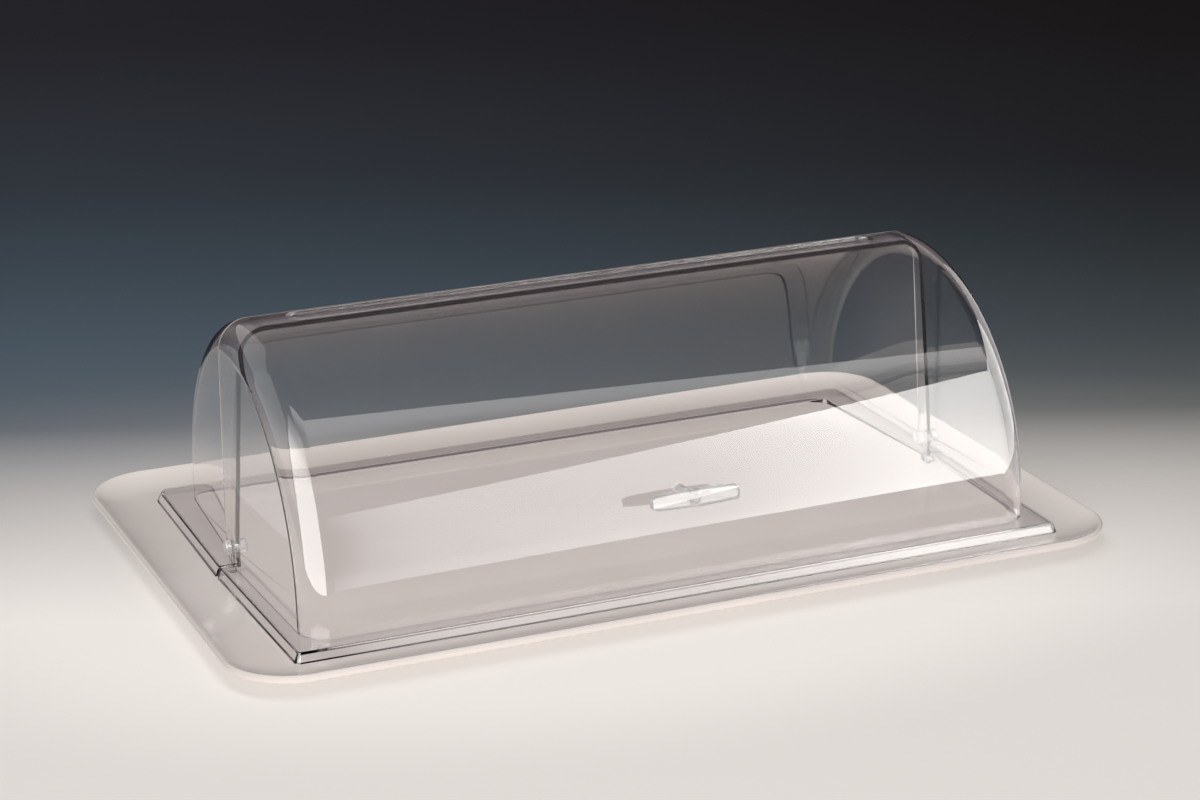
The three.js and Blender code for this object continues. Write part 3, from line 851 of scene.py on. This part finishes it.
def make_world():
    world = bpy.data.worlds.new("studio")
    world.use_nodes = True
    tree = world.node_tree
    tree.nodes.clear()
    link = tree.links.new
    place = node(tree, "ShaderNodeTexCoord")
    split = node(tree, "ShaderNodeSeparateXYZ")
    share = node(tree, "ShaderNodeMath", {1: 0.5, 2: 0.5}, operation="MULTIPLY_ADD")
    sides = [gradient_ramp(tree, [(height_share(height), linear(*colour))
                                  for height, colour in zip(BACKDROP_HEIGHTS, colours)])
             for colours in (BACKDROP_LEFT, BACKDROP_RIGHT)]
    level = Vector((math.cos(CAMERA_AZIMUTH), math.sin(CAMERA_AZIMUTH), 0))
    rightness = node(tree, "ShaderNodeVectorMath", {1: level}, operation="DOT_PRODUCT")
    across = node(tree, "ShaderNodeMapRange", {
        "From Min": -BACKDROP_HALF_WIDTH, "From Max": BACKDROP_HALF_WIDTH,
    })
    both = node(tree, "ShaderNodeMix", data_type="RGBA")
    above = node(tree, "ShaderNodeMapRange", {
        "From Min": height_share(EDGE_LIGHT_HEIGHTS[0]),
        "From Max": height_share(EDGE_LIGHT_HEIGHTS[1]),
    }, interpolation_type="SMOOTHSTEP")
    heading = Vector((-math.sin(CAMERA_AZIMUTH), math.cos(CAMERA_AZIMUTH), 0))
    aheadness = node(tree, "ShaderNodeVectorMath", {1: heading}, operation="DOT_PRODUCT")
    ahead = node(tree, "ShaderNodeMapRange", {
        "From Min": EDGE_LIGHT_AHEAD[0], "From Max": EDGE_LIGHT_AHEAD[1],
    }, interpolation_type="SMOOTHSTEP")
    bent = node(tree, "ShaderNodeMath", operation="MULTIPLY")
    above_ahead = node(tree, "ShaderNodeMath", operation="MULTIPLY")
    lifted = node(tree, "ShaderNodeMix", data_type="RGBA")
    lifted.inputs[MIX_SECOND].default_value = EDGE_LIGHT
    seen = node(tree, "ShaderNodeBackground")
    soft = node(tree, "ShaderNodeBackground", {"Color": SOFT_LIGHT})
    path = node(tree, "ShaderNodeLightPath")
    first = node(tree, "ShaderNodeMath", operation="MAXIMUM")
    either = node(tree, "ShaderNodeMath", operation="MAXIMUM")
    mix = node(tree, "ShaderNodeMixShader")
    out = node(tree, "ShaderNodeOutputWorld")
    link(place.outputs["Generated"], split.inputs["Vector"])
    link(split.outputs["Z"], share.inputs[0])
    for ramp, socket in zip(sides, (MIX_FIRST, MIX_SECOND)):
        link(share.outputs["Value"], ramp.inputs["Fac"])
        link(ramp.outputs["Color"], both.inputs[socket])
    link(place.outputs["Generated"], rightness.inputs[0])
    link(rightness.outputs["Value"], across.inputs["Value"])
    link(across.outputs["Result"], both.inputs[MIX_SHARE])
    link(share.outputs["Value"], above.inputs["Value"])
    link(above.outputs["Result"], above_ahead.inputs[0])
    link(above_ahead.outputs["Value"], bent.inputs[0])
    link(path.outputs["Is Transmission Ray"], bent.inputs[1])
    link(place.outputs["Generated"], aheadness.inputs[0])
    link(aheadness.outputs["Value"], ahead.inputs["Value"])
    link(ahead.outputs["Result"], above_ahead.inputs[1])
    link(bent.outputs["Value"], lifted.inputs[MIX_SHARE])
    link(both.outputs[MIX_COLOUR], lifted.inputs[MIX_FIRST])
    link(lifted.outputs[MIX_COLOUR], seen.inputs["Color"])
    link(path.outputs["Is Camera Ray"], first.inputs[0])
    link(path.outputs["Is Glossy Ray"], first.inputs[1])
    link(first.outputs["Value"], either.inputs[0])
    link(path.outputs["Is Transmission Ray"], either.inputs[1])
    link(either.outputs["Value"], mix.inputs["Fac"])
    link(soft.outputs["Background"], mix.inputs[1])
    link(seen.outputs["Background"], mix.inputs[2])
    link(mix.outputs["Shader"], out.inputs["Surface"])
    bpy.context.scene.world = world


# In metres along the camera's heading from the tray's middle, and to the sides
FLOOR_HALF_WIDTH = 1.5
FLOOR_FRONT = -0.47
FLOOR_REAR = 0.4
FLOOR_FAR_FRONT = -2.4
FLOOR_MELTS_BEHIND = (-0.16, 0.22)
FLOOR_MELTS_IN_FRONT = (-0.8, -2.3)
FLOOR_MELTS_ASIDE = (0.7, 1.45)
FLOOR_COLOUR = linear(174, 170, 167)
# The share of the melting that mirrored rays don't see
MELT_HELD_BACK = 0.5

# The floor's painted glow, an emission though the floor is no lamp: its strength at the oval
# about the tray, where it lightens the tray's shadow, and further out, and by how many times that
# far out it has faded
TRAY_OVAL = (1 / 0.36, 1 / 0.26, 0)
PAINTED_FLOOR_GLOW = (1.15, 0.9)
PAINTED_FLOOR_GLOW_SPREAD = (1.0, 1.5)


def pale_floor():
    """Pale and plain, with a painted glow that is a little brighter about the tray, and melting
    away further off.
    """
    material, tree = new_material("pale_floor")
    link = tree.links.new
    place = node(tree, "ShaderNodeTexCoord")
    split = node(tree, "ShaderNodeSeparateXYZ")
    aside = node(tree, "ShaderNodeMath", operation="ABSOLUTE")
    behind, in_front, far_aside = [
        node(tree, "ShaderNodeMapRange", {"From Min": start, "From Max": end})
        for start, end in (FLOOR_MELTS_BEHIND, FLOOR_MELTS_IN_FRONT, FLOOR_MELTS_ASIDE)]
    either = node(tree, "ShaderNodeMath", operation="MAXIMUM")
    any_way = node(tree, "ShaderNodeMath", operation="MAXIMUM")
    path = node(tree, "ShaderNodeLightPath")
    mirrored = node(tree, "ShaderNodeMath", operation="SUBTRACT")
    less_mirrored = node(tree, "ShaderNodeMath", {1: -MELT_HELD_BACK, 2: 1.0},
                         operation="MULTIPLY_ADD")
    melt = node(tree, "ShaderNodeMath", operation="MULTIPLY")
    shader = node(tree, "ShaderNodeBsdfDiffuse", {"Color": FLOOR_COLOUR})
    world_place = node(tree, "ShaderNodeNewGeometry")
    share = node(tree, "ShaderNodeVectorMath", {1: TRAY_OVAL}, operation="MULTIPLY")
    away = node(tree, "ShaderNodeVectorMath", operation="LENGTH")
    # Painted light: the floor glows, brightest about the tray, which lightens the tray's shadow
    # there
    painted_glow_about_tray = node(tree, "ShaderNodeMapRange", {
        "From Min": PAINTED_FLOOR_GLOW_SPREAD[0], "From Max": PAINTED_FLOOR_GLOW_SPREAD[1],
        "To Min": PAINTED_FLOOR_GLOW[0], "To Max": PAINTED_FLOOR_GLOW[1],
    }, interpolation_type="SMOOTHSTEP")
    glow = node(tree, "ShaderNodeEmission", {"Color": FLOOR_COLOUR})
    lit = node(tree, "ShaderNodeAddShader")
    clear = node(tree, "ShaderNodeBsdfTransparent")
    mix = node(tree, "ShaderNodeMixShader")
    out = node(tree, "ShaderNodeOutputMaterial")
    link(place.outputs["Object"], split.inputs["Vector"])
    link(split.outputs["X"], aside.inputs[0])
    link(split.outputs["Y"], behind.inputs["Value"])
    link(split.outputs["Y"], in_front.inputs["Value"])
    link(aside.outputs["Value"], far_aside.inputs["Value"])
    link(behind.outputs["Result"], either.inputs[0])
    link(in_front.outputs["Result"], either.inputs[1])
    link(either.outputs["Value"], any_way.inputs[0])
    link(far_aside.outputs["Result"], any_way.inputs[1])
    link(world_place.outputs["Position"], share.inputs[0])
    link(share.outputs["Vector"], away.inputs[0])
    link(away.outputs["Value"], painted_glow_about_tray.inputs["Value"])
    link(painted_glow_about_tray.outputs["Result"], glow.inputs["Strength"])
    link(path.outputs["Is Glossy Ray"], mirrored.inputs[0])
    link(path.outputs["Is Transmission Ray"], mirrored.inputs[1])
    link(mirrored.outputs["Value"], less_mirrored.inputs[0])
    link(any_way.outputs["Value"], melt.inputs[0])
    link(less_mirrored.outputs["Value"], melt.inputs[1])
    link(melt.outputs["Value"], mix.inputs["Fac"])
    link(shader.outputs["BSDF"], lit.inputs[0])
    link(glow.outputs["Emission"], lit.inputs[1])
    link(lit.outputs["Shader"], mix.inputs[1])
    link(clear.outputs["BSDF"], mix.inputs[2])
    link(mix.outputs["Shader"], out.inputs["Surface"])
    return material


def floor_sheet(name, material, front, rear):
    """A sheet of floor, square to the camera."""
    bm = bmesh.new()
    bmesh.ops.create_grid(bm, x_segments=1, y_segments=1, size=1)
    bmesh.ops.scale(bm, verts=bm.verts, vec=(FLOOR_HALF_WIDTH, (rear - front) / 2, 1))
    bmesh.ops.translate(bm, verts=bm.verts, vec=REAR * (rear + front) / 2)
    sheet = object_from(bm, name)
    sheet.rotation_euler.z = CAMERA_AZIMUTH
    sheet.data.materials.append(material)
    return sheet


def make_floor():
    """The floor that the display stands on, and more of it in front that is only seen."""
    material = pale_floor()
    floor_sheet("floor", material, FLOOR_FRONT, FLOOR_REAR)
    front_floor = floor_sheet("front_floor", material, FLOOR_FAR_FRONT, FLOOR_FRONT)
    front_floor.visible_diffuse = False
    front_floor.visible_glossy = False
    front_floor.visible_shadow = False


WARM_WHITE = (1, 0.985, 0.965)


def make_lamp(name, place, facing, width, height, radiance):
    """A soft rectangle of even radiance, upright unless it faces straight down."""
    data = bpy.data.lights.new(name, "AREA")
    data.shape = "RECTANGLE"
    data.size = width
    data.size_y = height
    data.energy = radiance * math.pi * width * height
    data.color = WARM_WHITE
    lamp = bpy.data.objects.new(name, data)
    lamp.location = place
    lamp.rotation_mode = "QUATERNION"
    lamp.rotation_quaternion = Vector(facing).to_track_quat("-Z", "Y")
    bpy.context.scene.collection.objects.link(lamp)
    return lamp


def fade(lamp, start, way, stops):
    """Makes the lamp's glow change with how far the way has been gone from the start."""
    data = lamp.data
    data.use_nodes = True
    tree = data.node_tree
    tree.nodes.clear()
    link = tree.links.new
    place = node(tree, "ShaderNodeNewGeometry")
    from_start = node(tree, "ShaderNodeVectorMath", {1: start}, operation="SUBTRACT")
    step = way / way.length_squared
    along = node(tree, "ShaderNodeVectorMath", {1: step}, operation="DOT_PRODUCT")
    ramp = gradient_ramp(tree, [(at, (glow, glow, glow, 1)) for at, glow in stops])
    glow = node(tree, "ShaderNodeEmission")
    out = node(tree, "ShaderNodeOutputLight")
    link(place.outputs["Position"], from_start.inputs[0])
    link(from_start.outputs["Vector"], along.inputs[0])
    link(along.outputs["Value"], ramp.inputs["Fac"])
    link(ramp.outputs["Color"], glow.inputs["Strength"])
    link(glow.outputs["Emission"], out.inputs["Surface"])


def upright_panel(name, start, end, low, high, radiance):
    """A standing lamp from one foot place to another, which faces to the left of the way."""
    along = end - start
    middle = (start + end) / 2 + UP * (low + high) / 2
    return make_lamp(name, middle, UP.cross(along), along.length, high - low, radiance)


def foot_place(right, rear):
    return Vector((right, rear, 0)) * MM


# From one foot place to the other, low edge, high edge and radiance
PANELS = {
    "right_panel": (foot_place(203, -2223), foot_place(950, -700), -0.5, 1.026, 6.4),
    "side_panel": (foot_place(960, -690), foot_place(1400, 100), -0.5, 0.95, 7.5),
    "edge_panel": (foot_place(1500, 100), foot_place(1300, 900), -0.3, 0.9, 1.5),
    "left_panel": (foot_place(-1300, -300), foot_place(-500, -1300), -0.2, 3.0, 9.2),
    "rear_left_panel": (foot_place(-1000, 700), foot_place(-1500, -250), 0.3, 1.9, 1.3),
    "back_left_panel": (foot_place(-250, 1000), foot_place(-1000, 700), 0.5, 1.6, 0.9),
}
RIGHT_PANEL_BRIGHT_FROM = foot_place(319, -1987) + UP * 0.52
RIGHT_PANEL_LEAN = 0.086
RIGHT_PANEL_GLOW = ((0.0, 0.0), (0.04, 0.42), (0.09, 0.62), (0.17, 0.75), (0.37, 0.95),
                    (0.46, 1.45), (0.53, 2.0), (0.64, 1.85), (0.85, 1.5))
LEFT_PANEL_FADES_OVER = 3
LEFT_PANEL_GLOW = ((0.0, 1.1), (0.35, 1.0), (0.6, 0.35), (1.0, 0.15))

# Hangs level and square to the camera. The clear pieces mirror it as the light wedge above
# the cover's rear edge.
HIGH_PANEL_PLACE = Vector((0.341, -0.744, 1.2))
HIGH_PANEL_SIZE = (1.8, 0.6)
HIGH_PANEL_RADIANCE = 4.0
HIGH_PANEL_GLOW = ((0.0, 1.0), (0.15, 0.9), (0.35, 0.35), (0.6, 0.05), (1.0, 0.0))

# Place, facing, width, height and radiance
SOFT_LAMPS = {
    "overhead": ((-0.1, 0.3, 2.0), (0.05, -0.15, -1), 1.0, 3.0, 2.6),
    "front_fill": ((-0.7, -1.7, 0.4), (0.38, 0.9, -0.15), 1.8, 0.8, 4.0),
}


def make_high_panel():
    panel = make_lamp("high_panel", HIGH_PANEL_PLACE, (0, 0, -1), *HIGH_PANEL_SIZE,
                      HIGH_PANEL_RADIANCE)
    panel.rotation_mode = "XYZ"
    panel.rotation_euler = (0, 0, CAMERA_AZIMUTH)
    to_camera = Matrix.Rotation(CAMERA_AZIMUTH, 3, "Z") @ -REAR
    fade(panel, HIGH_PANEL_PLACE - to_camera * HIGH_PANEL_SIZE[1] / 2,
         to_camera * HIGH_PANEL_SIZE[1], HIGH_PANEL_GLOW)
    return panel


def make_lamps(clear_pieces):
    """Panels that only the clear pieces mirror, and two soft lamps that light the display."""
    polished = bpy.data.collections.new("mirrors_the_panels")
    for piece in clear_pieces:
        polished.objects.link(piece)
    panels = {name: upright_panel(name, *shape) for name, shape in PANELS.items()}
    right_start, right_end = PANELS["right_panel"][:2]
    along = right_end - right_start
    fade(panels["right_panel"], RIGHT_PANEL_BRIGHT_FROM,
         along - UP * RIGHT_PANEL_LEAN * along.length, RIGHT_PANEL_GLOW)
    fade(panels["left_panel"], PANELS["left_panel"][0], UP * LEFT_PANEL_FADES_OVER,
         LEFT_PANEL_GLOW)
    for panel in (*panels.values(), make_high_panel()):
        panel.visible_diffuse = False
        panel.visible_transmission = False
        panel.light_linking.receiver_collection = polished
    for name, shape in SOFT_LAMPS.items():
        lamp = make_lamp(name, *shape)
        lamp.visible_glossy = False
        lamp.visible_transmission = False


# Build

white = glazed_white()
shell_plastic = clear_plastic("clear_shell_plastic", **SHELL_PLASTIC)
fitting_plastic = clear_plastic("clear_fitting_plastic", **FITTING_PLASTIC)

dress(make_tray(), white, "base", "tray", "tray")
clear = [
    dress(make_rear_shell(), shell_plastic, "rear_cover", "clear_shell", "rear_shell",
          ease=EASE),
    dress(make_front_shell(), shell_plastic, "roll_front", "clear_shell", "front_shell",
          ease=EASE),
    dress(make_grip(), fitting_plastic, "roll_front", "clear_fitting", "handle_grip"),
    dress(make_saddle(), fitting_plastic, "roll_front", "clear_fitting", "handle_saddle"),
    dress(make_screw(), fitting_plastic, "roll_front", "clear_fitting", "handle_screw"),
    *make_pivots(fitting_plastic),
]

make_camera()
make_world()
make_floor()
make_lamps(clear)
bpy.context.scene.view_settings.view_transform = "Standard"
